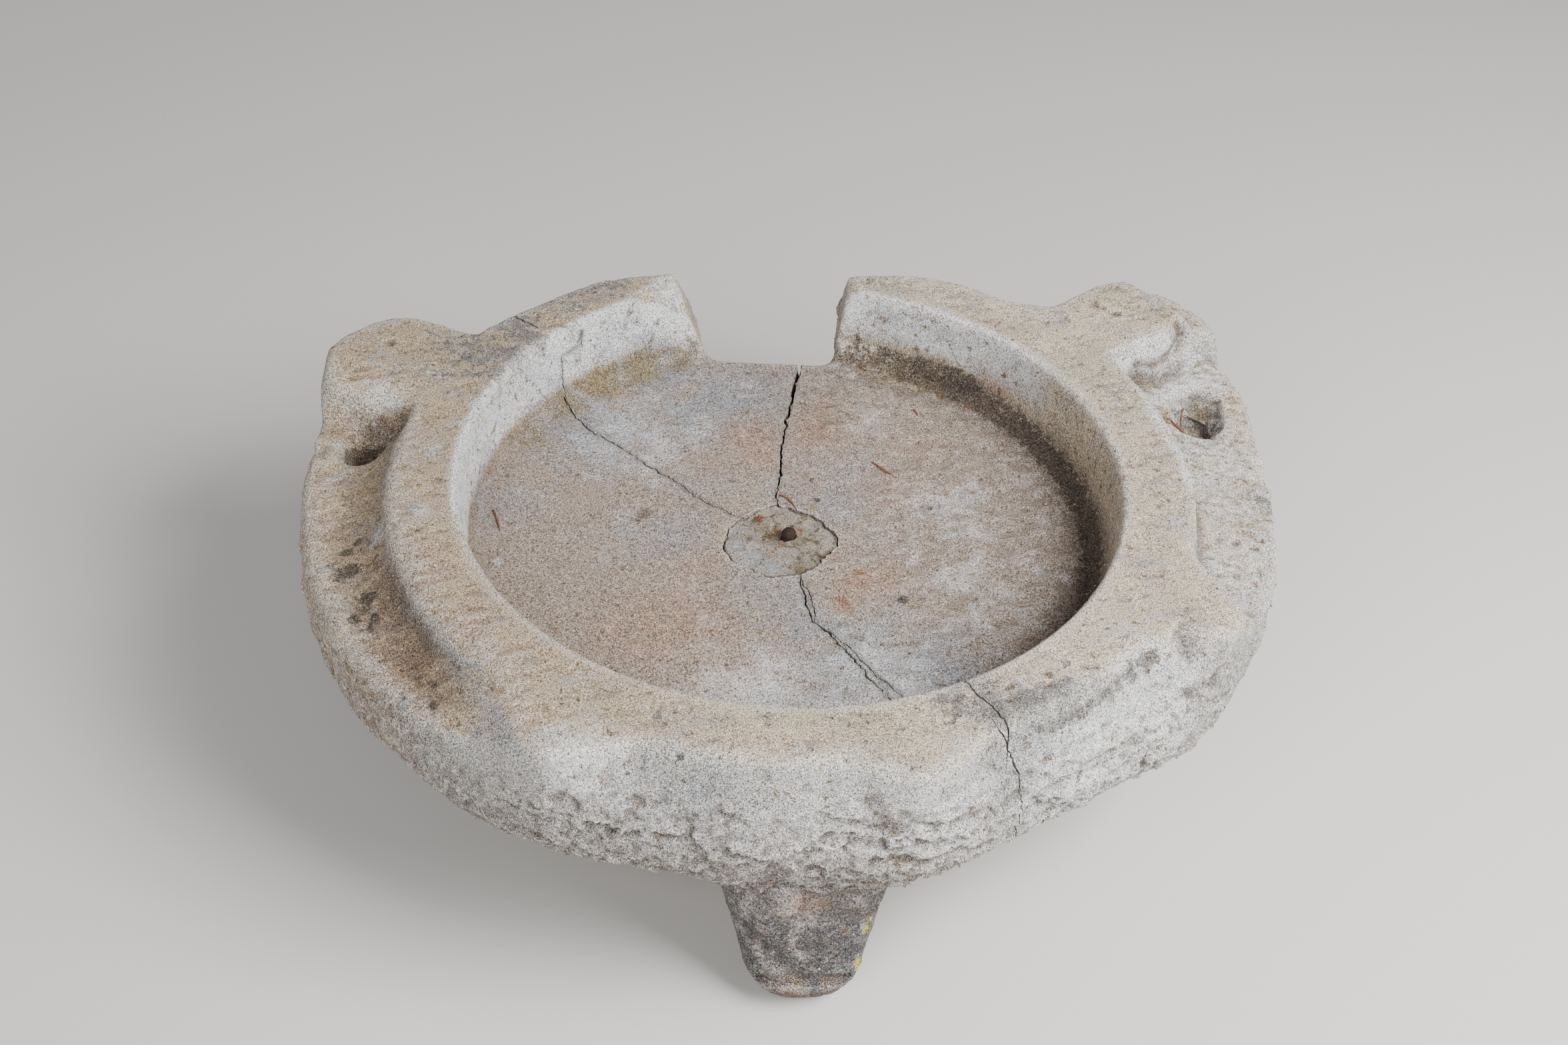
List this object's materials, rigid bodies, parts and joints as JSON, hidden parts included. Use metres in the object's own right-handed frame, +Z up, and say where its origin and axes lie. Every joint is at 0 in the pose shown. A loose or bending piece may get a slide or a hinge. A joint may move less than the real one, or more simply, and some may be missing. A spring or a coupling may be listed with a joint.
{
  "type": "millstone",
  "caption": "Carved stone bed of a rotary hand mill: round bowl with an outlet in its rim, socketed ears at the sides, stub feet, and the stump of an iron spindle.",
  "frame": {"origin": "centre of the bounding box's base, on the floor under the feet", "axes": "+Z up, -Y towards the front foot, +Y out through the outlet in the rim, +X towards the ear on the right of the picture"},
  "size_m": [0.6988, 0.6012, 0.232],
  "materials": {
    "pale_sandstone": "pecked and worn, unpolished",
    "grey_mortar": "rough, weathered",
    "rusted_iron": "rusted, matt"
  },
  "bodies": {
    "root": {"bed_stone": "pale_sandstone", "spindle_filling": "grey_mortar", "spindle_stump": "rusted_iron"}
  },
  "joints": []
}
